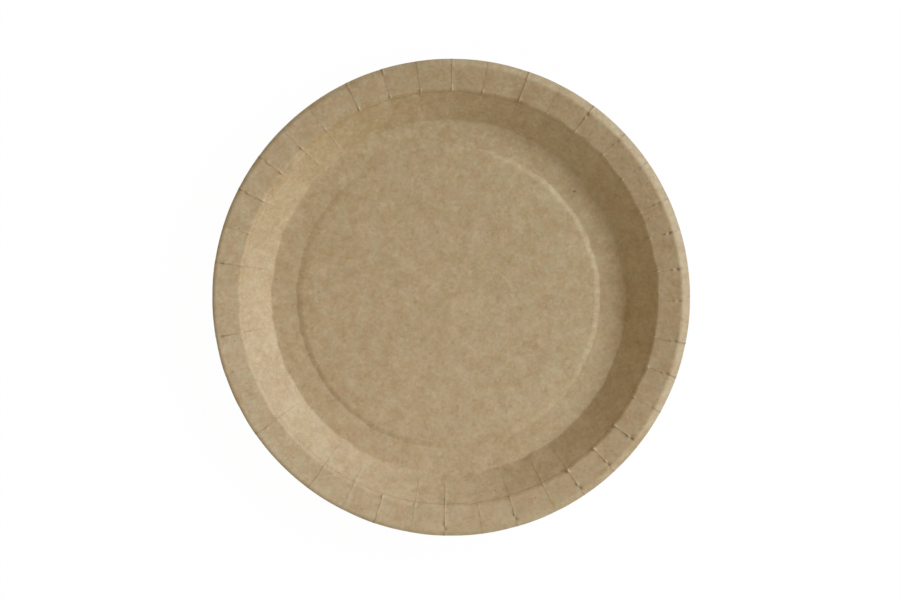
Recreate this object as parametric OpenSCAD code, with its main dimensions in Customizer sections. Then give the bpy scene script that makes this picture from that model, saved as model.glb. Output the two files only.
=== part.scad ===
// Paper plate pressed from one round sheet: a raised centre panel, a flat foot ring, a sloping wall,
// a rim and a turned-down lip, with pinched pleats that take up the spare paper.
// Millimetres, +Z up. The origin is on the table, under the middle of the round edge.

/* [Sheet] */
// Outside diameter of the trimmed edge
plate_d = 230; // [180:1:280]
// Thickness of the paper
paper_t = 0.45; // [0.3:0.05:0.6]
// How far the pressed form lies off the middle of the trimmed edge
press_shift = 1.4; // [0:0.1:1.6]
// Direction in which the pressed form lies off, anticlockwise from +X
press_shift_angle = 200.6; // [0:0.1:359.9]

/* [Centre] */
// Height of the centre panel above the foot ring
panel_lift = 0.6; // [0.3:0.1:1.4]
// Radius of the bend at the edge of the centre panel
panel_bend_r = 8; // [1:0.5:10]
// Width of the sloping step round the centre panel, seen from above
step_w = 2.8; // [2.2:0.1:6]
// Radius of the bend at the foot of that step
step_bend_r = 1.5; // [1:0.5:3.5]
// Width of the flat ring that the plate stands on, seen from above
foot_w = 12.5; // [8:0.5:30]

/* [Wall] */
// Width of the wall, seen from above
wall_w = 15.2; // [12:0.1:22]
// Height of the wall
wall_h = 11.35; // [8:0.05:20]
// Radius of the bend at the foot of the wall
foot_bend_r = 2; // [1:0.5:6]
// Radius of the shoulder, where the wall bends into the rim
shoulder_bend_r = 1.5; // [1:0.1:3]
// Distance down the wall from the shoulder to the score that the die leaves
score_back = 1.75; // [1.2:0.05:4]
// Width of that score
score_w = 0.8; // [0.4:0.1:1.2]
// Depth of that score
score_depth = 0.08; // [0.04:0.02:0.12]

/* [Rim] */
// Width of the rim from the shoulder to the crest, seen from above
rim_w = 11.3; // [8:0.1:20]
// Rise of the rim from the shoulder to the crest
rim_rise = 2.55; // [0.5:0.05:3.5]
// Width of the lip outside the crest, seen from above
lip_w = 2.55; // [2:0.05:5]
// Drop of the lip from the crest to the edge
lip_drop = 0.95; // [0.5:0.05:4]
// Radius of the bend at the crest
crest_bend_r = 1.4; // [1:0.1:2]

/* [Pleats] */
// Number of pleats round the plate
pleat_count = 40; // [16:1:60]
// Width of a pleat at the shoulder
pleat_w = 0.6; // [0.4:0.1:1.2]
// Height of a pleat above the rim
pleat_h = 0.2; // [0.1:0.05:0.5]
// Depth in the paper at which a pleat begins, at the foot of the wall
pleat_root = 0.06; // [0.04:0.02:0.12]
// Angle of the first pleat, anticlockwise from +X
pleat_turn = -0.9; // [-4:0.1:4]

/* [Hidden] */

// Straight pieces that each bend of the section is drawn with
bend_steps = 4;
// Length by which the untrimmed sheet and the trimming cylinder run past each other
spare = 1;

// Radii and heights of the corners of the section, on the middle line of the paper
edge_r = plate_d / 2;
crest_r = edge_r - lip_w;
rim_r = crest_r - rim_w;
wall_foot_r = rim_r - wall_w;
step_foot_r = wall_foot_r - foot_w;
panel_r = step_foot_r - step_w;
foot_z = paper_t / 2;
panel_z = foot_z + panel_lift;
rim_z = foot_z + wall_h;
crest_z = rim_z + rim_rise;

// The untrimmed sheet runs out along the slope of the lip, past the trimmed edge
sheet_w = lip_w + press_shift + spare;
sheet_r = crest_r + sheet_w;
sheet_z = crest_z - lip_drop * sheet_w / lip_w;

// Corners of the section from the axis outwards, and the radius of the bend at each
corners = [
    [0, panel_z],
    [panel_r, panel_z],
    [step_foot_r, foot_z],
    [wall_foot_r, foot_z],
    [rim_r, rim_z],
    [crest_r, crest_z],
    [sheet_r, sheet_z]
];
bend_radii = [0, panel_bend_r, step_bend_r, foot_bend_r, shoulder_bend_r, crest_bend_r, 0];

// Places in that list of the foot of the wall, of its top and of the last bend
wall_foot = 3;
shoulder = wall_foot + 1;
crest = shoulder + 1;

// Angle that a pleat takes up round the axis
pleat_angle = 2 * asin(pleat_w / 2 / rim_r);

// Unit vector at an angle
function unit(angle) = [cos(angle), sin(angle)];

// Angle of the straight stretch that leaves corner i
function heading(i) =
    let (run = corners[i + 1] - corners[i])
    atan2(run.y, run.x);

// Points of the bend at corner i, on the surface that lies a distance up from the middle line
function bend(i, up) =
    let (
        from = heading(i - 1),
        turn = heading(i) - from,
        side = sign(turn),
        r = bend_radii[i],
        start = corners[i] - r * tan(abs(turn) / 2) * unit(from),
        centre = start + side * r * unit(from + 90)
    )
    [for (s = [0 : bend_steps]) centre - (side * r - up) * unit(from + 90 + turn * s / bend_steps)];

// Points of the bends from corner first to corner last
function bends(first, last, up) = [for (i = [first : last]) each bend(i, up)];

// Point where a surface begins on the axis, and point where it ends past the trimmed edge
function on_axis(up) = corners[0] + up * unit(90);
function at_end(up) = corners[crest + 1] + up * unit(heading(crest) + 90);

// Points of the score, a shallow groove in the upper surface of the wall
function score(up) =
    let (
        along = unit(heading(wall_foot)),
        square = unit(heading(wall_foot) + 90),
        middle = corners[shoulder] - score_back * along + up * square
    )
    [middle - score_w / 2 * along, middle - score_depth * square, middle + score_w / 2 * along];

// Points of the lower and of the upper surface of the sheet, from the axis to its end
function lower_line(up) = concat([on_axis(up)], bends(1, crest, up), [at_end(up)]);
function upper_line(up) = concat(
    [on_axis(up)], bends(1, wall_foot, up), score(up), bends(shoulder, crest, up), [at_end(up)]
);

// Points of a surface that rises out of the wall from its foot, and follows the sheet from there
function pleat_line(root, up) = concat(
    [bend(wall_foot, root)[bend_steps]], bends(shoulder, crest, up), [at_end(up)]
);

function reversed(points) = [for (i = [len(points) - 1 : -1 : 0]) points[i]];

// The sheet turned round the axis, before its edge is trimmed
module pressed_sheet() {
    rotate_extrude()
        polygon(concat(lower_line(-paper_t / 2), reversed(upper_line(paper_t / 2))));
}

// One pinched fold that stands up from the wall, the rim and the lip
module pleat() {
    top = paper_t / 2;
    rotate([0, 0, -pleat_angle / 2])
        rotate_extrude(angle = pleat_angle)
            polygon(concat(pleat_line(0, 0), reversed(pleat_line(top - pleat_root, top + pleat_h))));
}

// The whole plate, with the pressed form trimmed to a true circle
module plate() {
    color("tan")
        intersection() {
            translate(press_shift * unit(press_shift_angle))
                union() {
                    pressed_sheet();
                    for (i = [0 : pleat_count - 1])
                        rotate([0, 0, pleat_turn + i * 360 / pleat_count])
                            pleat();
                }
            translate([0, 0, -spare])
                cylinder(h = crest_z + pleat_h + paper_t + 2 * spare, r = edge_r);
        }
}

plate();
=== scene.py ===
# %% [markdown]
# # A pressed paper plate
# The plate is one round sheet of brown paper board. A heated press squeezes the flat sheet between two dies,
# and the paper that is too much round the wall and the rim gathers in small pinched pleats. So there is one
# piece to make and one finish to paint, and all the care goes into the bends, the pleats and the paper itself.
#
# The solid model comes in first as a fixed frame. It gives the size and the place of everything that follows.
# Sizes are in millimetres, or in metres where a name ends in _M, and directions are in degrees anticlockwise from
# the right.

# %% Load the solid plate as the frame
import math

import bpy
import numpy as np
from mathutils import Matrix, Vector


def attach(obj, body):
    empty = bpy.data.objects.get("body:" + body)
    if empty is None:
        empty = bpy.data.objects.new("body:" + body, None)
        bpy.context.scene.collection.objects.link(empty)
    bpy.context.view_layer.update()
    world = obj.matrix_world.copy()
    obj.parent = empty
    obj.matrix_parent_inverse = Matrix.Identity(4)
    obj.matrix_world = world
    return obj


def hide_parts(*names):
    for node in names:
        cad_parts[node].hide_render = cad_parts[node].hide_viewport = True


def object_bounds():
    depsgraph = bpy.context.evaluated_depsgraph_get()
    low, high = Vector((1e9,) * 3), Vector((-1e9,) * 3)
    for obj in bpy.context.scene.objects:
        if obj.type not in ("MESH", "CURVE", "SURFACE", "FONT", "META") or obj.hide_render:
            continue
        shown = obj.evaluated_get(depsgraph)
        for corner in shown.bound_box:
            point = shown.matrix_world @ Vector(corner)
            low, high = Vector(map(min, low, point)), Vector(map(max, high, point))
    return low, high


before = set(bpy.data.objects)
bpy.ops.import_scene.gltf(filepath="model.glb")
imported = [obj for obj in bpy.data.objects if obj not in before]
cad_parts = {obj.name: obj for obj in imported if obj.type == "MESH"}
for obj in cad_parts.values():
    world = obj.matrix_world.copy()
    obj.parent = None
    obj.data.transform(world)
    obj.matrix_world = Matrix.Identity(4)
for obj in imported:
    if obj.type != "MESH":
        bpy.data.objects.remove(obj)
cad_low, cad_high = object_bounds()
MM = 0.001
edge_r = (cad_high.x - cad_low.x) / 2 / MM
print("solid plate:", [round(side / MM, 2) for side in cad_high - cad_low], "mm")

# %% [markdown]
# ## Camera
# The photo looks down on the plate from far away, but not quite straight: the low rings sit a little higher in
# the picture than the rim round them, and the outline is a hair wider than high. Both say that the camera leans
# 3.5 degrees from the top of the picture. A camera with no turn looks along -Z with +Y up, so one small turn
# about X gives that. The lens follows from how many pixels the plate's radius takes up, and the place
# from where the plate's middle falls in the picture. Both are taken at about the height of the plate's edge.

# %% Hang the camera over the plate
PHOTO_W = 900
PHOTO_H = 600
PLATE_PIXEL_X = 450.7
PLATE_PIXEL_Y = 297.5
PLATE_PIXEL_R = 238.8
CAMERA_DISTANCE = 2000
CAMERA_LEAN = math.radians(3.5)
CAMERA_REACH_M = 20
AIM_Z = 13

pixel = edge_r / PLATE_PIXEL_R
camera_data = bpy.data.cameras.new("camera")
camera_data.lens = camera_data.sensor_width * CAMERA_DISTANCE / (PHOTO_W * pixel)
camera_data.clip_end = CAMERA_REACH_M
camera = bpy.data.objects.new("camera", camera_data)
off_x = PLATE_PIXEL_X - (PHOTO_W - 1) / 2
off_y = (PHOTO_H - 1) / 2 - PLATE_PIXEL_Y
picture_right = np.array([1, 0, 0])
picture_up = np.array([0, math.cos(CAMERA_LEAN), -math.sin(CAMERA_LEAN)])
away = np.array([0, math.sin(CAMERA_LEAN), math.cos(CAMERA_LEAN)])
from_aim = CAMERA_DISTANCE * away - pixel * (off_x * picture_right + off_y * picture_up)
camera.location = (from_aim + (0, 0, AIM_Z)) * MM
camera.rotation_euler = (-CAMERA_LEAN, 0, 0)
bpy.context.scene.collection.objects.link(camera)
bpy.context.scene.camera = camera
print(f"one pixel is {pixel:.4f} mm, lens {camera_data.lens:.1f} mm")

# %% [markdown]
# ## Shader sums as plain Python
# A material is a graph of nodes, and most of them only add or multiply. This small class holds one socket and
# gives it Python's operators, so that `0.5 + gain * (clouds - 0.5)` builds its own Math nodes. Every other kind
# of node comes from the one method `node`, which takes the type, the settings and the inputs.

# %% A socket that can be used in sums
class Shade:
    """One output socket of a node tree. Sums with it add Math nodes to that tree."""

    def __init__(self, tree, socket=None):
        self.tree = tree
        self.socket = socket

    def node(self, kind, settings=None, inputs=None, output=0):
        """Adds a node of a kind, first with its settings, then with values or links for its inputs."""
        made = self.tree.nodes.new(kind)
        for name, value in (settings or {}).items():
            setattr(made, name, value)
        for name, value in (inputs or {}).items():
            if isinstance(value, Shade):
                self.tree.links.new(value.socket, made.inputs[name])
            else:
                made.inputs[name].default_value = value
        return Shade(self.tree, made.outputs[output] if made.outputs else None)

    def math(self, operation, first, second):
        return self.node("ShaderNodeMath", {"operation": operation}, {0: first, 1: second})

    def __add__(self, other):
        return self.math("ADD", self, other)

    def __radd__(self, other):
        return self.math("ADD", other, self)

    def __sub__(self, other):
        return self.math("SUBTRACT", self, other)

    def __rsub__(self, other):
        return self.math("SUBTRACT", other, self)

    def __mul__(self, other):
        return self.math("MULTIPLY", self, other)

    def __rmul__(self, other):
        return self.math("MULTIPLY", other, self)

    def length(self):
        """Length of a vector."""
        return self.node("ShaderNodeVectorMath", {"operation": "LENGTH"}, {0: self}, "Value")

    def fade(self, low, high):
        """Rises smoothly from 0 to 1 as the value goes from low to high."""
        settings = {"interpolation_type": "SMOOTHSTEP"}
        return self.node("ShaderNodeMapRange", settings, {"Value": self, "From Min": low, "From Max": high})

    def mix(self, first, second):
        """The first colour where the value is 0, the second where it is 1."""
        return self.node("ShaderNodeMix", {"data_type": "RGBA"}, {0: self, 6: first, 7: second}, 2)

    def tinted(self, tint):
        """The colour times another colour, channel by channel."""
        settings = {"data_type": "RGBA", "blend_type": "MULTIPLY"}
        return self.node("ShaderNodeMix", settings, {0: 1.0, 6: self, 7: tint}, 2)


def blank_tree(owner):
    """Empties the node tree of a material or a world, and returns a Shade to start from."""
    owner.use_nodes = True
    owner.node_tree.nodes.clear()
    return Shade(owner.node_tree)


print("operators ready")

# %% [markdown]
# ## Lamps
# The photo's light is one soft source at the right, a little above the picture's middle line, with a weaker one
# at the lower left. The shadow at the foot of the right wall fades out over about 17 mm, which tells how high
# the source is and how tall: 28 degrees up and 20 degrees from its lower edge to its upper. How slowly the wall
# brightens from the right to the left tells that it is wide, some 56 degrees. A sun lamp has no width, so flat
# area lamps hang far away. With the light from all round they bring one unit of light to flat paper, so that
# colours come out as written.

# %% A wide soft lamp at the right and a weaker one at the lower left
LAMP_DISTANCE_M = 4
LAMP_GRID = np.linspace(-0.5, 0.5, 21)
KEY_SHARE = np.array([0.553, 0.636, 0.748])
FILL_SHARE = np.array([0.185, 0.236, 0.243])


def soft_box(name, azimuth_deg, elevation_deg, tall_deg, wide_deg, share):
    """Hangs a flat lamp that faces the plate and brings a share of one unit of light to flat paper.

    A flat surface sends back its own colour when the light on it is pi. Each point of the lamp brings flat paper
    its power over pi, times the cosines at the lamp and at the paper, over the distance squared. The mean of
    that over a grid of points on the lamp gives the power that the share needs.
    """
    azimuth, elevation = np.radians([azimuth_deg, elevation_deg])
    tall, wide = 2 * LAMP_DISTANCE_M * np.tan(np.radians([tall_deg, wide_deg]) / 2)
    up, along = np.meshgrid(tall * LAMP_GRID, wide * LAMP_GRID)
    far = np.sqrt(LAMP_DISTANCE_M ** 2 + up ** 2 + along ** 2)
    height = LAMP_DISTANCE_M * math.sin(elevation) + up * math.cos(elevation)
    power = share * math.pi ** 2 / (LAMP_DISTANCE_M * height / far ** 4).mean()
    data = bpy.data.lights.new(name, "AREA")
    data.shape = "RECTANGLE"
    data.size = tall
    data.size_y = wide
    data.energy = power.max()
    data.color = power / power.max()
    lamp = bpy.data.objects.new(name, data)
    out = LAMP_DISTANCE_M * math.cos(elevation)
    lamp.location = (out * math.cos(azimuth), out * math.sin(azimuth), LAMP_DISTANCE_M * math.sin(elevation))
    lamp.rotation_euler = (0, math.pi / 2 - elevation, azimuth)
    bpy.context.scene.collection.objects.link(lamp)
    print(f"{name}: {data.energy:.0f} W, {tall:.2f} m tall and {wide:.2f} m wide")


soft_box("key_lamp", azimuth_deg=19, elevation_deg=28, tall_deg=20, wide_deg=56, share=KEY_SHARE)
soft_box("fill_lamp", azimuth_deg=232, elevation_deg=43, tall_deg=30, wide_deg=30, share=FILL_SHARE)

# %% [markdown]
# ## Light from all round
# What the lamps leave of the one unit comes from all round, weak and warm, as light that walls and table send
# back. But the photo's ground is pure white. The Light Path node tells a look of the camera, straight or in a
# gloss, from light that falls on the plate, so the world can be white for the one and weak for the other.

# %% A weak warm world that looks white
AROUND_SHARE = 1 - KEY_SHARE - FILL_SHARE


def seen_directly(tree):
    """1 for what the camera sees, straight or in gloss or glass, and 0 for light that falls on the object."""
    path = tree.tree.nodes.new("ShaderNodeLightPath")
    camera_ray, glossy_ray, glass_ray = [
        Shade(tree.tree, path.outputs[name]) for name in ("Is Camera Ray", "Is Glossy Ray", "Is Transmission Ray")
    ]
    return tree.math("MAXIMUM", camera_ray, tree.math("MAXIMUM", glossy_ray, glass_ray))


world = bpy.data.worlds.new("studio")
bpy.context.scene.world = world
sky = blank_tree(world)
around = sky.node("ShaderNodeBackground", {}, {"Color": (*AROUND_SHARE, 1)})
white = sky.node("ShaderNodeBackground", {}, {"Color": (1, 1, 1, 1)})
shown = sky.node("ShaderNodeMixShader", {}, {0: seen_directly(sky), 1: around, 2: white})
sky.node("ShaderNodeOutputWorld", {}, {"Surface": shown})
print("light from all round:", AROUND_SHARE.round(3))

# %% [markdown]
# ## Floor
# The plate lies on plain white. The floor returns most of the light that falls on it, as a white table does.
# Seen by the camera it is mostly a white glow, so that it is white like the photo's ground and still keeps a
# soft shadow beside the plate. Under the rim the glow gives way to the plain table, which is dark there, so
# that from the side the plate stands on the floor and doesn't float.

# %% A white floor that keeps the shadow
FLOOR_HALF_M = 12
FLOOR_WHITE = 0.8
FLOOR_SHADOW = 0.02
CONTACT_R = 98
CONTACT_INSIDE = 1.5

floor_mesh = bpy.data.meshes.new("floor")
floor_corners = [(x * FLOOR_HALF_M, y * FLOOR_HALF_M, 0) for x, y in ((-1, -1), (1, -1), (1, 1), (-1, 1))]
floor_mesh.from_pydata(floor_corners, [], [(0, 1, 2, 3)])
floor_paint = bpy.data.materials.new("white_floor")
ground = blank_tree(floor_paint)
table = ground.node("ShaderNodeBsdfDiffuse", {}, {"Color": (FLOOR_WHITE, FLOOR_WHITE, FLOOR_WHITE, 1)})
shaded = ground.node("ShaderNodeBsdfDiffuse", {}, {"Color": (FLOOR_SHADOW, FLOOR_SHADOW, FLOOR_SHADOW, 1)})
glow = ground.node("ShaderNodeEmission", {}, {"Strength": 1 - FLOOR_SHADOW})
bright = ground.node("ShaderNodeAddShader", {}, {0: shaded, 1: glow})
from_middle = ground.node("ShaderNodeTexCoord", output="Object").length()
outside = from_middle.fade(CONTACT_R * MM, (edge_r - CONTACT_INSIDE) * MM)
pictured = ground.node("ShaderNodeMixShader", {}, {0: outside, 1: table, 2: bright})
floor_look = ground.node("ShaderNodeMixShader", {}, {0: seen_directly(ground), 1: table, 2: pictured})
ground.node("ShaderNodeOutputMaterial", {}, {"Surface": floor_look})
floor_mesh.materials.append(floor_paint)
floor = bpy.data.objects.new("floor", floor_mesh)
bpy.context.scene.collection.objects.link(floor)
print("floor", 2 * FLOOR_HALF_M, "m wide")

# %% [markdown]
# ## The pressed section
# Cut the plate through its middle and the paper shows as one thin line with six straight stretches: the raised
# centre panel, its sloping step, the flat foot ring, the wall, the rim and the lip. Five bends join them, and a
# fine score, a groove with three small bends of its own, runs round near the top of the wall. The line could be
# drawn as a Bezier curve and spun, but worked out as numbers it also gives the slope at every row, and the
# pleats need that slope to stand square on the paper.

# %% Corners of the section
PAPER_T = 0.45
PANEL_LIFT = 0.74
STEP_W = 2.4
FOOT_W = 12.5
WALL_W = 15.35
WALL_H = 11.35
RIM_W = 11.3
RIM_RISE = 2.55
LIP_W = 2.4
LIP_DROP = 1
SCORE_BACK = 1.93
SCORE_W = 0.9
SCORE_DEPTH = 0.15

crest_r = edge_r - LIP_W
rim_r = crest_r - RIM_W
wall_foot_r = rim_r - WALL_W
step_foot_r = wall_foot_r - FOOT_W
panel_r = step_foot_r - STEP_W
foot_z, rim_z, crest_z, edge_z = np.cumsum([PAPER_T / 2, WALL_H, RIM_RISE, -LIP_DROP])
up_wall = np.array([WALL_W, WALL_H]) / math.hypot(WALL_W, WALL_H)
into_wall = np.array([up_wall[1], -up_wall[0]])
score = np.array([rim_r, rim_z]) - SCORE_BACK * up_wall
section_corners = np.array([
    (0, foot_z + PANEL_LIFT),
    (panel_r, foot_z + PANEL_LIFT),
    (step_foot_r, foot_z),
    (wall_foot_r, foot_z),
    score - SCORE_W / 2 * up_wall,
    score + SCORE_DEPTH * into_wall,
    score + SCORE_W / 2 * up_wall,
    (rim_r, rim_z),
    (crest_r, crest_z),
    (edge_r, edge_z),
])
print("corners:", section_corners.round(2).tolist())

# %% [markdown]
# Each corner of that line is now rounded to an arc. Where paper bends the rows lie close together, and on the
# wall and the rim there are many rows too, because the pleats that run along them change in every millimetre.
# Both lists run outwards. The bends are the panel's edge, the foot of the step, the foot of the wall, three at
# the score, the shoulder and the crest, and the straight stretches lie before, between and after them.

# %% Rows along the section of the sheet
BEND_RADII = np.array([5, 1.2, 2, 0.3, 0.3, 0.3, 2.2, 2.3])
STRAIGHT_ROWS = [8, 1, 5, 26, 1, 1, 2, 22, 6]
BEND_ROWS = 5


def bent_line(corners, radii, straight_rows, bend_rows):
    """Rows along a line with rounded corners: radius, height and heading, and how far along the last stretch.

    Each bend is an arc that touches the two straight stretches at its corner. It starts before the corner by the
    radius times the tangent of half the turn, and its centre lies the radius away on the inner side of the turn.
    """
    steps = np.diff(corners, axis=0)
    headings = np.arctan2(steps[:, 1], steps[:, 0])
    turns = np.diff(headings)
    along = np.stack([np.cos(headings), np.sin(headings)], axis=1)
    left = np.stack([-np.sin(headings), np.cos(headings)], axis=1)
    runs = (radii * np.tan(np.abs(turns) / 2))[:, None]
    signed_radii = np.sign(turns) * radii
    starts = np.vstack([corners[:1], corners[1:-1] + runs * along[1:]])
    ends = np.vstack([corners[1:-1] - runs * along[:-1], corners[-1:]])
    centres = ends[:-1] + signed_radii[:, None] * left[:-1]
    points = []
    facing = []
    last = len(straight_rows) - 1
    for i, rows in enumerate(straight_rows):
        share = np.arange(1, rows + 1) / (rows + (i < last))
        points.append(starts[i] + share[:, None] * (ends[i] - starts[i]))
        facing.append(np.full(rows, headings[i]))
        if i < last:
            turned = headings[i] + turns[i] * np.linspace(0, 1, bend_rows)
            square = np.stack([-np.sin(turned), np.cos(turned)], axis=1)
            points.append(centres[i] - signed_radii[i] * square)
            facing.append(turned)
    points = np.vstack(points)
    lip = np.zeros(len(points))
    lip[-straight_rows[-1]:] = share
    return points[:, 0], points[:, 1], np.concatenate(facing), lip


row_r, row_z, row_heading, row_lip = bent_line(section_corners, BEND_RADII, STRAIGHT_ROWS, BEND_ROWS)
print(len(row_r), "rows, highest", round(row_z.max() + PAPER_T / 2, 2), "mm")

# %% [markdown]
# ## Where the pleats are
# The blank is scored every nine degrees, so there are forty pleats. The scores were made round a point a little
# off the middle of the press, so the pleats crowd together slightly on one side, and more than half of them have
# slipped in the press, by 1.2 degrees at most. The columns of the grid lie close together at a pleat and far
# apart between two, because a pleat is narrow and the paper between is plain. HALF_COLUMNS gives their places on
# each side, as shares of the way to the middle between two pleats.

# %% Pleat angles and grid columns
PLEAT_COUNT = 40
PLEAT_TURN = -0.8
PLEAT_SWING = 0.8
PLEAT_SWING_FROM = 188
SLIPPED = {
    0: 1.1, 2: 0.3, 3: -0.9, 5: -0.5, 6: 0.4, 7: 0.4, 8: -0.4, 9: 0.6, 11: -0.6,
    12: -1.2, 13: -1.2, 14: 0.5, 15: -0.4, 16: -0.8, 17: -0.7, 21: 0.3, 22: 0.7, 24: -0.8,
    26: -0.3, 27: 0.4, 29: 0.4, 30: -0.3, 33: 1, 35: 0.3, 37: 0.5, 38: 0.6,
}
HALF_COLUMNS = np.array([0.018, 0.04, 0.075, 0.14, 0.3, 0.64])

even = np.arange(PLEAT_COUNT) * 360 / PLEAT_COUNT
pleat_deg = even + PLEAT_TURN + PLEAT_SWING * np.cos(np.radians(even - PLEAT_SWING_FROM))
pleat_deg[list(SLIPPED)] += list(SLIPPED.values())
gap_after = np.radians((np.roll(pleat_deg, -1) - pleat_deg) % 360)
gap_before = np.roll(gap_after, 1)
column_places = np.concatenate([-HALF_COLUMNS[::-1], [0], HALF_COLUMNS, [1]])
pleat_of, side = np.meshgrid(np.arange(PLEAT_COUNT), column_places, indexing="ij")
pleat_of = pleat_of.ravel()
side = side.ravel()
half_gap = np.where(side < 0, gap_before[pleat_of], gap_after[pleat_of]) / 2
from_pleat = side * half_gap
column_angle = np.radians(pleat_deg)[pleat_of] + from_pleat
print(PLEAT_COUNT, "pleats,", len(column_angle), "columns")

# %% [markdown]
# ## How firm each pleat is
# No two pleats folded alike. The lists say, from 0 to 6 and anticlockwise from the right, how firm each
# one is on the rim, down the wall and over the lip, how deep a pit it left inside the crest, and how far it
# stands up in a knot at the shoulder.

# %% Pleats, one by one
ON_RIM = np.array([
    1, 3, 2, 4, 2, 2, 4, 2, 4, 3,
    4, 2, 2, 4, 2, 3, 4, 5, 3, 5,
    0, 5, 1, 1, 5, 2, 4, 2, 5, 2,
    4, 3, 3, 2, 4, 4, 6, 1, 4, 3,
])
ON_WALL = np.array([
    1, 1, 1, 1, 1, 0, 0, 0, 1, 1,
    1, 1, 1, 1, 3, 4, 1, 1, 2, 3,
    1, 4, 2, 1, 4, 1, 3, 1, 2, 2,
    4, 2, 1, 3, 2, 0, 0, 0, 0, 2,
])
ON_LIP = np.array([
    1, 1, 1, 3, 2, 3, 5, 1, 3, 2,
    6, 3, 5, 6, 1, 2, 6, 6, 2, 6,
    0, 3, 2, 1, 5, 1, 2, 1, 6, 1,
    3, 2, 2, 1, 3, 3, 1, 4, 4, 5,
])
PITS = np.array([
    3, 5, 6, 3, 2, 2, 4, 1, 1, 0,
    1, 0, 0, 0, 0, 0, 3, 3, 0, 5,
    0, 4, 2, 1, 0, 0, 0, 0, 2, 0,
    4, 0, 4, 0, 5, 5, 6, 1, 3, 3,
])
KNOTS = np.array([
    0, 5, 3, 2, 4, 3, 3, 1, 3, 3,
    1, 2, 3, 3, 2, 4, 4, 3, 2, 1,
    0, 0, 0, 0, 2, 0, 2, 1, 3, 1,
    1, 1, 1, 1, 5, 4, 3, 4, 4, 3,
])
print("firmest on the rim:", ON_RIM.max(), "deepest pit:", PITS.max(), "highest knot:", KNOTS.max())

# %% [markdown]
# ## Relief of the pleats
# A pleat is a pinched ridge. It has a thin slit along its line, a knot where it turns over the shoulder, and
# often a pit where it collapses just inside the crest, with a speck of paper that stands up beside it. The ridge,
# the knot, the pit and the speck are each a height over the grid of rows and columns. They are real geometry and
# not bump, because a ridge has to catch the light and throw a shadow from any side. The slit is no height: along
# each pleat's line a dark line of painted shade stands for it, and the material reads that further on.

# %% Curves that the heights are made of
SEED = 40

rng = np.random.default_rng(SEED)
sheet_r = row_r[:, None]
sideways = from_pleat * sheet_r


def smooth(value, low, high):
    """Rises from 0 at low to 1 at high along the curve 3x^2 - 2x^3."""
    x = np.clip((value - low) / (high - low), 0, 1)
    return x * x * (3 - 2 * x)


def hump(value, width):
    """A smooth hump, 1 in the middle and about a third at a width from it."""
    return np.exp(-(value / width) ** 2)


def waves(across, lengths, amount):
    """Sum of sine waves of the given lengths, each with a seeded phase of its own for every pleat."""
    phases = rng.uniform(0, 2 * np.pi, (len(lengths), 1, PLEAT_COUNT))[:, :, pleat_of]
    return amount * sum(np.sin(2 * np.pi * across / length + phase) for length, phase in zip(lengths, phases))


def dab(strengths, middle_r, wide, long):
    """A small oval mound on every pleat, as high as its strength: a hump across the fold times one along it."""
    return strengths[pleat_of] * hump(sideways, wide) * hump(sheet_r - middle_r, long)


print("a grid of", len(row_r), "rows by", len(column_angle), "columns")

# %% [markdown]
# The firmness of a pleat goes smoothly from its number on the wall to those on the rim and the lip, and swells
# and thins on the way, as pinched paper does. The ridge, the painted shade along its line and the small mounds
# all follow from it and from the lists. A pair whose name ends in ALONG_RIM gives a value at the shoulder and one
# at the crest.

# %% Ridges, painted shade of cracks, knots and pits
PLEAT_END = 2.5
PLEAT_FULL = 5.5
SHOULDER_RUN = 2
RIM_MARGIN = 1
LUMP_LENGTHS = (9, 5)
LUMP_SWING = 0.24
LUMP_RANGE = (0.3, 2)
RIDGE_STEP = 0.03
RIDGE_W = 0.6
RIDGE_ALONG_RIM = (1.5, 1)
RIDGE_MORE_ON_LIP = 0.8
# The next three set the painted shade along each pleat's line: its width, its strength, and how much less it is
# at the knot
CRACK_SHADE_W_ALONG_RIM = (0.22, 0.33)
CRACK_SHADE_ALONG_RIM = (0.8, 1.2)
CRACK_SHADE_LESS_AT_KNOT = 0.7
KNOT_STEP = 0.12
KNOT_W = 0.4
KNOT_L = 0.8
PIT_STEP = 0.1
PIT_W = 0.7
PIT_L = 1.2
PIT_INSIDE = 1.55
SPECK_STEP = 0.09
SPECK_INSIDE = 3.45

to_rim = smooth(sheet_r, rim_r - SHOULDER_RUN, rim_r)
to_lip = smooth(sheet_r, crest_r - PIT_INSIDE, crest_r)
outward = smooth(sheet_r, rim_r + RIM_MARGIN, crest_r - RIM_MARGIN)


def along_rim(at_shoulder, at_crest):
    """A value that goes smoothly from one amount at the shoulder to another at the crest."""
    return at_shoulder + (at_crest - at_shoulder) * outward


firm = ON_WALL[pleat_of] * smooth(sheet_r, wall_foot_r + PLEAT_END, wall_foot_r + PLEAT_FULL)
firm = firm + to_rim * (ON_RIM - ON_WALL)[pleat_of] + to_lip * (ON_LIP - ON_RIM)[pleat_of]
firm = firm * np.clip(1 + waves(sheet_r, LUMP_LENGTHS, LUMP_SWING), *LUMP_RANGE)
ridge = firm * (along_rim(*RIDGE_ALONG_RIM) + RIDGE_MORE_ON_LIP * to_lip) * np.exp(-np.abs(sideways) / RIDGE_W)
# Painted shade along each pleat's line: a dark line as wide as the slit in the pinch, weaker where the knot
# stands
crack_shade = firm * along_rim(*CRACK_SHADE_ALONG_RIM) * hump(sideways, along_rim(*CRACK_SHADE_W_ALONG_RIM))
crack_shade = crack_shade * (1 - CRACK_SHADE_LESS_AT_KNOT * hump(sheet_r - rim_r, KNOT_L))
knot = dab(KNOTS, rim_r, KNOT_W, KNOT_L)
pit = dab(PITS, crest_r - PIT_INSIDE, PIT_W, PIT_L)
speck = dab(PITS, crest_r - SPECK_INSIDE, KNOT_W, KNOT_L)
pleats = RIDGE_STEP * ridge + KNOT_STEP * knot - PIT_STEP * pit + SPECK_STEP * speck
print("pleats from", round(pleats.min(), 2), "to", round(pleats.max(), 2), "mm")

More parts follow.
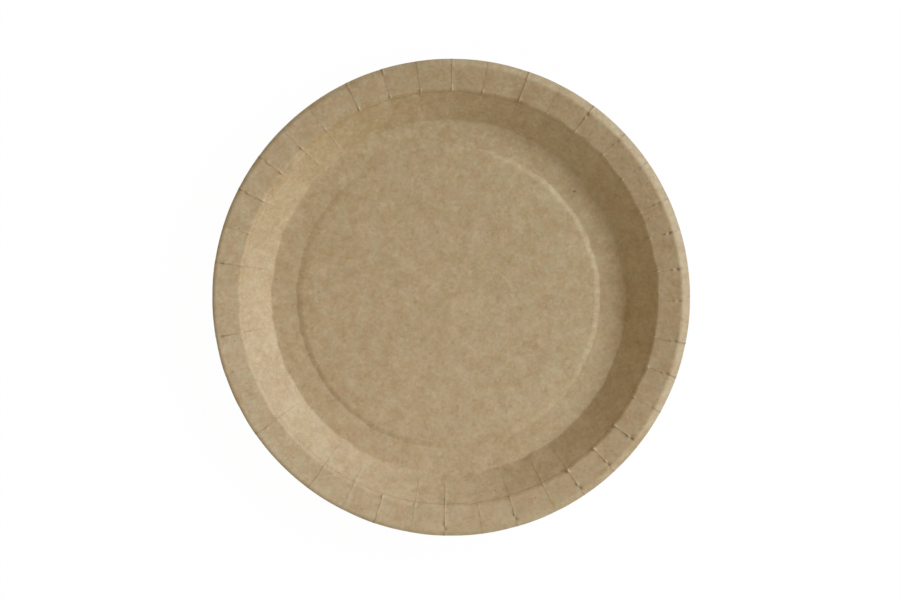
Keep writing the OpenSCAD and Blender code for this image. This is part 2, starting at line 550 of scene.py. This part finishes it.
# %% [markdown]
# ## Relief of the paper between
# The paper between two pleats is a small panel of its own, which sits a little askew and swells in its middle.
# The large panel in the centre leans, and it is warped like a crisp: high at two opposite places and low
# between them. The score was pressed in firmly at the top and the bottom of the picture and hardly at all at
# the left and the right, where its groove is filled up again.

# %% Askew panels, the centre panel and the score
ASKEW = 0.12
BULGE = 0.10
BULGE_SPREAD = 0.5
PANEL_CLEAR_W = 1.2
PANEL_TILT = 0.17
PANEL_HIGH_AT = 25
PANEL_WARP = 0.17
WARP_HIGH_AT = 45
SCORE_FIRM_AT = 100

# A panel lies after its pleat, and across_panel runs from 0 at that pleat to 1 at the next
panel_of = np.where(side < 0, pleat_of - 1, pleat_of)
across_panel = np.where(side < 0, 1 + side / 2, side / 2)
tilt = rng.normal(0, ASKEW, PLEAT_COUNT)[panel_of]
swell = BULGE * (1 + rng.normal(0, BULGE_SPREAD, PLEAT_COUNT))[panel_of]
climb = smooth(sheet_r, wall_foot_r, rim_r)
off_ridge = 1 - np.exp(-np.abs(sideways) / PANEL_CLEAR_W)
panels = climb * off_ridge * (tilt * (2 * across_panel - 1) + swell * 4 * across_panel * (1 - across_panel))

outer_share = sheet_r / step_foot_r
leaning = PANEL_TILT * outer_share * np.cos(column_angle - math.radians(PANEL_HIGH_AT))
warped = PANEL_WARP * outer_share ** 2 * np.cos(2 * (column_angle - math.radians(WARP_HIGH_AT)))
centre = (leaning + warped) * (1 - smooth(sheet_r, panel_r, step_foot_r))

score_firm = (1 + np.cos(2 * (column_angle - math.radians(SCORE_FIRM_AT)))) / 2
in_groove = np.clip(1 - np.abs(sheet_r - score[0]) / (SCORE_W / 2 * up_wall[0]), 0, 1)
filled = (1 - score_firm) * SCORE_DEPTH * in_groove

relief = pleats + panels + centre + filled
print("relief from", round(relief.min(), 2), "to", round(relief.max(), 2), "mm")

# %% [markdown]
# ## Trim and wobble
# The edge was cut as a true circle, but the press sat about 1.4 mm off its middle. So the lip is wide on one
# side and narrow on the other: its rows stretch to meet the circle. Paper doesn't follow a die quite truly
# either. The pleats wander a little sideways on their way out, and the lines of the bends wobble, mostly by a
# tenth or two of a millimetre.

# %% Place of every point of the grid
PRESS_SHIFT = np.array([-1.311, -0.493])
WANDER = 0.16
WANDER_LENGTHS = (17, 8)
WOBBLE = 0.12
WOBBLE_CYCLES = np.array([17, 28, 40, 51])
WOBBLE_W = 4

toward = np.stack([np.cos(column_angle), np.sin(column_angle)])
offset = PRESS_SHIFT @ toward
lip_slope = -row_heading[-1]
trim_r = np.sqrt(offset ** 2 - PRESS_SHIFT @ PRESS_SHIFT + edge_r ** 2) - offset
trim_r = trim_r - PAPER_T / 2 * math.sin(lip_slope)
trimmed = row_lip[:, None] * (trim_r - edge_r)

at_pleat = np.maximum(0, 1 - np.abs(side))
wander = WANDER * climb * at_pleat * waves(sheet_r, WANDER_LENGTHS, 1 / len(WANDER_LENGTHS))

bend_lines = np.array([step_foot_r, wall_foot_r, rim_r])
wobble_phases = rng.uniform(0, 2 * np.pi, (len(bend_lines), len(WOBBLE_CYCLES), 1))
swings = np.sin(WOBBLE_CYCLES[:, None] * column_angle + wobble_phases).sum(axis=1)
wobble = WOBBLE * sum(hump(sheet_r - line_r, WOBBLE_W) * swing for line_r, swing in zip(bend_lines, swings))

grid_r = sheet_r + trimmed + wobble
grid_z = row_z[:, None] - trimmed * math.tan(lip_slope)
grid_angle = column_angle + wander / sheet_r
print("lip stretched by", trimmed.min().round(2), "to", trimmed.max().round(2), "mm")

# %% [markdown]
# ## The sheet
# The upper face stands half the paper's thickness out from the section line, the lower face as far the other
# way, and both carry the relief. A Solidify modifier would do that too, but here the underside can be plainer
# and take every second row. The grid runs from the middle of the upper face out to the trimmed edge and back
# along the underside to the middle, so that one closed skin is the whole plate.

# %% Build the closed skin of the plate
UNDER_SHARE = 0.8
SHARP_FROM = math.radians(50)


def face(height):
    """Points at a height above the section line, measured square to it, turned round the press's middle."""
    r = grid_r - np.sin(row_heading)[:, None] * height
    x = PRESS_SHIFT[0] + r * np.cos(grid_angle)
    y = PRESS_SHIFT[1] + r * np.sin(grid_angle)
    z = grid_z + np.cos(row_heading)[:, None] * height
    return np.stack([x, y, z], axis=-1)


def closed_skin(rings, first_pole, last_pole):
    """Vertices and faces of a skin of closed rings, with each end drawn together in a pole.

    A quad joins each ring to the next, and its corners run outwards first and then anticlockwise, so that the
    upper face looks up. A fan of triangles fills the first ring and the last.
    """
    count, around_ring = rings.shape[:2]
    vertices = np.vstack([[first_pole], rings.reshape(-1, 3), [last_pole]])
    ring = 1 + np.arange(count * around_ring).reshape(count, around_ring)
    onward = np.roll(ring, -1, axis=1)
    quads = np.stack([ring[:-1], ring[1:], onward[1:], onward[:-1]], axis=-1).reshape(-1, 4)
    first = np.stack([np.zeros(around_ring, int), ring[0], onward[0]], axis=-1)
    final = np.stack([np.full(around_ring, len(vertices) - 1), onward[-1], ring[-1]], axis=-1)
    return vertices, quads.tolist() + first.tolist() + final.tolist()


upper = face(PAPER_T / 2 + relief)
lower = face(UNDER_SHARE * relief - PAPER_T / 2)
edge_middle = (upper[-1:] + lower[-1:]) / 2
middle = np.array([*PRESS_SHIFT, row_z[0]])
half_paper = np.array([0, 0, PAPER_T / 2])
points, faces = closed_skin(
    np.concatenate([upper, edge_middle, lower[::-2]]), middle + half_paper, middle - half_paper)

plate_mesh = bpy.data.meshes.new("pressed_plate")
plate_mesh.from_pydata(points * MM, [], faces)
plate_mesh.shade_smooth()
plate_mesh.set_sharp_from_angle(angle=SHARP_FROM)
plate = bpy.data.objects.new("pressed_plate", plate_mesh)
bpy.context.scene.collection.objects.link(plate)
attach(plate, "root")
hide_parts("plate")
print(len(points), "points,", sum(len(corners) - 2 for corners in faces), "triangles")

# %% [markdown]
# ## Painted shade and light of the press
# The slit along each pinched pleat, the hollow of each pit and the groove of the score are painted darker: this
# is painted shade, for where the light runs along them and their relief throws little of its own. The wall, the
# rim and the lip each have a tint of painted light: the wall a little warmer, as with light sent back from the
# brown paper, the rim a shade darker and greyer, and the lip paler and bluer, as with a painted sheen. These
# marks follow the folds and the rings, not the paper's own pattern, so they are stored on the points of the mesh
# as attributes that the material can read.

# %% Painted shade of the folds as an attribute
# Firmness and depth that count as one whole mark of painted shade
WHOLE_FOLD = 6
WHOLE_PIT = 5
SCORE_SHADE_TONE = 0.55
SCORE_SHADE_W = 0.3

# Painted shade in the score's groove, darkest at the top and the bottom, where the light runs along it
score_shade = score_firm * hump(sheet_r - score[0], SCORE_SHADE_W)
# Painted shade: the dark line of each pleat, the hollow of each pit and the score's groove
folded = np.maximum.reduce([crack_shade / WHOLE_FOLD, pit / WHOLE_PIT, SCORE_SHADE_TONE * score_shade])
fold = np.concatenate([folded, 0 * folded[-1:], folded[::-2]]).ravel()
fold = np.concatenate([[0], fold, [0]]).astype(np.float32)
plate_mesh.attributes.new("fold", "FLOAT", "POINT").data.foreach_set("value", fold)
print("darkest fold", fold.max().round(2))

# %% [markdown]
# The tints of painted light multiply the paper's colour, channel by channel, and fade into each other at the
# bends. In the centre and on the rim the hue also drifts slowly from one side of the plate to the other.

# %% Painted light of the rings, and the hue drift, as an attribute
# Painted light: the wall warmer, as with light sent back from brown paper, the rim a shade darker and greyer, the
# lip paler and bluer, as with a painted sheen
WALL_BOUNCE_TINT = np.array([1.003, 0.994, 0.975])
RIM_SHADE_TINT = np.array([0.975, 0.975, 1.0])
LIP_SHEEN_TINT = np.array([0.965, 1.0, 1.05])
WALL_FADE = 1
RIM_FADE = 0.5
LIP_FADE = 1
CENTRE_DRIFT_PER_M = np.array([-0.18, -0.3])
RIM_DRIFT_PER_M = np.array([0.11, -0.15])
REDDER = np.array([1, 0, 0])
RED_FOR_BLUE = np.array([1, 0, -1])

from_axis = np.hypot(*(points[:, :2] - PRESS_SHIFT).T)[:, None]
on_wall = smooth(from_axis, wall_foot_r - WALL_FADE, wall_foot_r + WALL_FADE)
on_rim = smooth(from_axis, rim_r - RIM_FADE, rim_r + RIM_FADE)
on_lip = smooth(from_axis, crest_r - LIP_FADE, crest_r + LIP_FADE)
tint = 1 + (WALL_BOUNCE_TINT - 1) * on_wall + (RIM_SHADE_TINT - WALL_BOUNCE_TINT) * on_rim + (LIP_SHEEN_TINT - RIM_SHADE_TINT) * on_lip
tint = tint + (1 - on_wall) * (points[:, :2] * MM @ CENTRE_DRIFT_PER_M)[:, None] * REDDER
tint = tint + on_rim * (points[:, :2] * MM @ RIM_DRIFT_PER_M)[:, None] * RED_FOR_BLUE
tint = np.hstack([tint, np.ones_like(from_axis)]).astype(np.float32)
plate_mesh.attributes.new("ring_light_and_hue_drift", "FLOAT_COLOR", "POINT").data.foreach_set("color", tint.ravel())
print("tints from", tint.min().round(3), "to", tint.max().round(3))

# %% [markdown]
# ## Brown paper
# The board is unbleached: short brown fibres felted together, so the colour is cloudy at every scale from a
# millimetre to a few centimetres, with single strands curling this way and that and a few dark flecks of bark. A
# few broad patches make it darker on the foot ring at the right and at the bottom, on the wall at the upper left
# and on the lip at the lower right, and paler on the wall at the upper right. An image would give that too, but
# noise worked out from the plate's own coordinates has no seams and no limit to how near one can look.

# %% Noise, strands and flecks
STRAND_W = 0.08
STRAND_CURL = 0.5
STRAND_PATCH = 1.5
STRAND_KEPT = (0.42, 0.6)
FLECK_FADE = (0.6, 1.3)

paper = bpy.data.materials.new("brown_paper")
sheet = blank_tree(paper)
spot = sheet.node("ShaderNodeTexCoord", output="Object")


def per_metre(size):
    """Scale of a texture whose features are a size in millimetres, on coordinates in metres."""
    return 1 / (size * MM)


def noise(size, detail=0, roughness=0.5, output=0, **more):
    """Smooth noise with features of a size in millimetres, between 0 and 1 and mostly near a half."""
    inputs = {"Vector": spot, "Scale": per_metre(size), "Detail": detail, "Roughness": roughness}
    return sheet.node("ShaderNodeTexNoise", {}, {**inputs, **more}, output)


def strands(size, away_m):
    """Thin curly lines where a noise is near a half, kept only where a second noise is high."""
    moved = sheet.node("ShaderNodeVectorMath", {"operation": "ADD"}, {0: spot, 1: (away_m, away_m, away_m)})
    curl = noise(size, detail=1, Vector=moved, Distortion=STRAND_CURL)
    off_line = sheet.math("ABSOLUTE", curl - 0.5, 0)
    return (1 - off_line.fade(0, STRAND_W)) * noise(STRAND_PATCH * size, Vector=moved).fade(*STRAND_KEPT)


def fleck(x, y, turn_deg, half_long, half_wide):
    """An oval fleck at a place in millimetres: 1 inside it, and 0 beyond its rim."""
    inputs = {"Vector": spot, "Location": (x * MM, y * MM, 0), "Rotation": (0, 0, math.radians(turn_deg)),
              "Scale": (half_long * MM, half_wide * MM, 1)}
    oval = sheet.node("ShaderNodeMapping", {"vector_type": "TEXTURE"}, inputs)
    return 1 - oval.length().fade(*FLECK_FADE)


def flecks(places):
    """Sum of flecks, each given as its strength and then its place, turn, half length and half width."""
    first, *others = [strength * fleck(*oval) for strength, *oval in places]
    return sum(others, first)


print("noise, strands and flecks ready")

# %% [markdown]
# The tone of the paper is one number that runs from its darkest brown to its lightest. Clouds, grain and strands
# push it up and down, it drifts slowly across the whole sheet, and the patches make it darker, or paler where
# their strength is negative. Two sets of strands, moved apart so that they differ, are the pale and the dark
# fibres. A noise with three channels then shifts the hue, because no two fibres have quite the same brown.

# %% Tone and colour of the paper
PAPER_DARK = (0.3302, 0.2268, 0.1153, 1)
PAPER_LIGHT = (0.4313, 0.3389, 0.2048, 1)
CLOUD_SIZE = 9
CLOUD_DETAIL = 2.3
CLOUD_ROUGHNESS = 0.95
CLOUD_GAIN = 1.5
GRAIN_SIZE = 1.6
GRAIN_GAIN = 0.8
STRAND_SIZE = 3.4
STRAND_GAIN = 0.26
PALE_STRANDS_M = 0.3
DARK_STRANDS_M = 0.7
DRIFT_PER_M = (0.95, -1.75, 0)
PATCHES = [
    (0.25, 79, 0, 90, 16, 9),
    (0.15, 22, -76, 16, 26, 9),
    (-0.2, 56, 74, 142, 26, 8),
    (0.13, -48, 81, 30, 16, 8),
    (0.22, 75, -85, 42, 45, 3),
]
HUE_SIZE = 5
HUE_SWING = (0.14, 0, 0.18)
HUE_BASE = (0.93, 1, 0.91)

clouds = noise(CLOUD_SIZE, CLOUD_DETAIL, CLOUD_ROUGHNESS)
grain = noise(GRAIN_SIZE, detail=1)
felt = strands(STRAND_SIZE, PALE_STRANDS_M) - strands(STRAND_SIZE, DARK_STRANDS_M)
drift = sheet.node("ShaderNodeVectorMath", {"operation": "DOT_PRODUCT"}, {0: spot, 1: DRIFT_PER_M}, "Value")
tone = 0.5 + CLOUD_GAIN * (clouds - 0.5) + GRAIN_GAIN * (grain - 0.5)
tone = tone + STRAND_GAIN * felt + drift - flecks(PATCHES)
hues = {0: noise(HUE_SIZE, detail=1, output="Color"), 1: HUE_SWING, 2: HUE_BASE}
hue_shift = sheet.node("ShaderNodeVectorMath", {"operation": "MULTIPLY_ADD"}, hues)
colour = tone.mix(PAPER_DARK, PAPER_LIGHT).tinted(hue_shift)
print(len(paper.node_tree.nodes), "nodes make the colour of the paper")

# %% [markdown]
# Bark flecks lie over that colour, and then the painted shade of the folds and the painted light of the rings.
# The paper is matt, with a faint gloss that is a little rougher in the pale clouds, and the felted fibres give
# its skin a very fine bump.

# %% Flecks, painted shade of the folds, painted light of the rings, and the finish
SPECK_BROWN = (0.12, 0.075, 0.04, 1)
SPECK_GAP = 11
SPECK_FADE = (0.02, 0.045)
SPECK_TONE = 0.6
BARK_FLECKS = [
    (1, 59.6, 51.0, 17, 1.1, 0.55),
    (0.6, 48.7, 81.0, 20, 0.8, 0.45),
    (0.4, 36.6, 71.2, 0, 0.6, 0.5),
]
# Brown and strength of the painted shade in the slits, the pits and the score's groove
FOLD_SHADE_BROWN = (0.20, 0.135, 0.070, 1)
FOLD_SHADE_TONE = 0.7
PAPER_ROUGHNESS = 0.55
ROUGHNESS_SWING = 0.1
PAPER_GLOSS = 0.2
BUMP_STRENGTH = 0.25
BUMP_HEIGHT = 0.1
FELT_IN_BUMP = 0.5
CLOUDS_IN_BUMP = 0.5

specks = sheet.node("ShaderNodeTexVoronoi", {}, {"Vector": spot, "Scale": per_metre(SPECK_GAP)})
colour = (SPECK_TONE * (1 - specks.fade(*SPECK_FADE))).mix(colour, SPECK_BROWN)
colour = (SPECK_TONE * flecks(BARK_FLECKS)).mix(colour, SPECK_BROWN)
# Painted shade of the slits, the pits and the score's groove
fold_mark = sheet.node("ShaderNodeAttribute", {"attribute_name": "fold"}, output="Fac")
colour = (FOLD_SHADE_TONE * fold_mark).mix(colour, FOLD_SHADE_BROWN)
# Painted light of the rings, with the slow hue drift, multiplies the colour
ring_light_and_hue_drift = sheet.node("ShaderNodeAttribute", {"attribute_name": "ring_light_and_hue_drift"}, output="Color")
colour = colour.tinted(ring_light_and_hue_drift)
fibres = FELT_IN_BUMP * felt + CLOUDS_IN_BUMP * clouds
bump = {"Strength": BUMP_STRENGTH, "Distance": BUMP_HEIGHT * MM, "Height": fibres}
finish = sheet.node("ShaderNodeBsdfPrincipled", {}, {
    "Base Color": colour,
    "Roughness": PAPER_ROUGHNESS + ROUGHNESS_SWING * clouds,
    "Specular IOR Level": PAPER_GLOSS,
    "Normal": sheet.node("ShaderNodeBump", {}, bump),
})
sheet.node("ShaderNodeOutputMaterial", {}, {"Surface": finish})
plate_mesh.materials.append(paper)
print(len(paper.node_tree.nodes), "nodes in the paper's material")

# %% [markdown]
# ## Finish
# The view transform is plain, so that a colour leaves the render as it was written.

# %% Close the scene
bpy.context.scene.view_settings.view_transform = "Standard"
